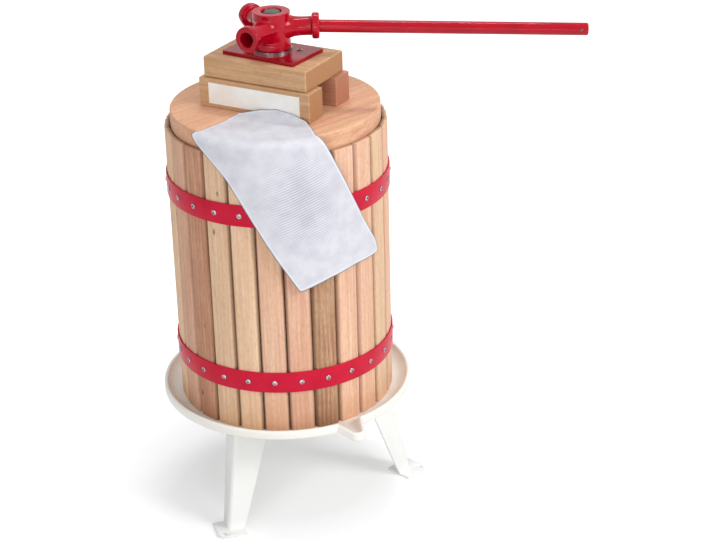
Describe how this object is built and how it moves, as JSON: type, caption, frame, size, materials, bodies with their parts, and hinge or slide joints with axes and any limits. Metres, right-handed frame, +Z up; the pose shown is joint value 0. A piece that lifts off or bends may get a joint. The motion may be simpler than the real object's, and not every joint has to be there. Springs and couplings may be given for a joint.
{
  "type": "fruit press",
  "caption": "Hand fruit press: stave basket with hoops on a legged juice tray, spindle nut with a handle bar driving a press board down into the basket.",
  "frame": {"origin": "on the spindle axis at floor level, at the centre of the circle of foot holes", "axes": "+Z up along the spindle, -Y out along the pouring spout, +X to the right seen from the spout"},
  "size_m": [0.5409, 0.4106, 0.7061],
  "materials": {
    "beech_stave": "planed beech, unvarnished",
    "beech_board": "planed beech, unvarnished",
    "beech_block": "planed beech, unvarnished",
    "red_hoop_paint": "semi-gloss red powder coat",
    "red_plate_paint": "gloss red paint",
    "red_gloss_paint": "gloss red paint",
    "white_enamel": "gloss cream white enamel",
    "spindle_steel": "turned dark steel",
    "zinc_steel": "zinc plated",
    "bright_steel": "bright plated",
    "nylon_mesh": "woven nylon mesh",
    "label_paper": "blank satin label"
  },
  "bodies": {
    "base": {"tray": "white_enamel", "base_plate": "white_enamel", "rear_leg": "white_enamel", "left_leg": "white_enamel", "right_leg": "white_enamel", "leg_bolts": "zinc_steel", "leg_washers": "zinc_steel", "leg_nuts": "zinc_steel", "spindle": "spindle_steel", "spindle_washers": "zinc_steel", "spindle_lock_nuts": "zinc_steel", "press_bag": "nylon_mesh"},
    "basket": {"stave_01": "beech_stave", "stave_02": "beech_stave", "stave_03": "beech_stave", "stave_04": "beech_stave", "stave_05": "beech_stave", "stave_06": "beech_stave", "stave_07": "beech_stave", "stave_08": "beech_stave", "stave_09": "beech_stave", "stave_10": "beech_stave", "stave_11": "beech_stave", "stave_12": "beech_stave", "stave_13": "beech_stave", "stave_14": "beech_stave", "stave_15": "beech_stave", "stave_16": "beech_stave", "stave_17": "beech_stave", "stave_18": "beech_stave", "stave_19": "beech_stave", "stave_20": "beech_stave", "stave_21": "beech_stave", "stave_22": "beech_stave", "stave_23": "beech_stave", "stave_24": "beech_stave", "stave_25": "beech_stave", "stave_26": "beech_stave", "lower_hoop": "red_hoop_paint", "upper_hoop": "red_hoop_paint", "lower_hoop_screws": "bright_steel", "upper_hoop_screws": "bright_steel"},
    "press_stack": {"left_board_half": "beech_board", "right_board_half": "beech_board", "front_block": "beech_block", "back_block": "beech_block", "blank_label": "label_paper", "top_block": "beech_block", "pressure_plate": "red_plate_paint", "plate_screws": "bright_steel", "thrust_washer": "bright_steel"},
    "nut": {"spindle_nut": "red_gloss_paint"},
    "bar": {"handle_bar": "red_gloss_paint"}
  },
  "joints": [
    {"name": "press_travel", "type": "slide", "parent": "base", "child": "press_stack", "axis": [0, 0, 1], "range_m": [-0.0851, 0], "deforming": ["press_bag"]},
    {"name": "nut_turn", "type": "hinge", "parent": "press_stack", "child": "nut", "pos_m": [0, 0, 0.6561], "axis": [0, 0, 1], "range_deg": [-6120, 0]},
    {"name": "bar_slide", "type": "slide", "parent": "nut", "child": "bar", "axis": [0.8652, -0.4995, -0.0436], "range_m": [0, 0.025]},
    {"name": "basket_lift", "type": "slide", "parent": "base", "child": "basket", "axis": [0, 0, 1], "range_m": [0, 0.02]}
  ],
  "couplings": [
    {"joint": "press_travel", "follows": "nut_turn", "m_per_rad": 0.00079577}
  ]
}
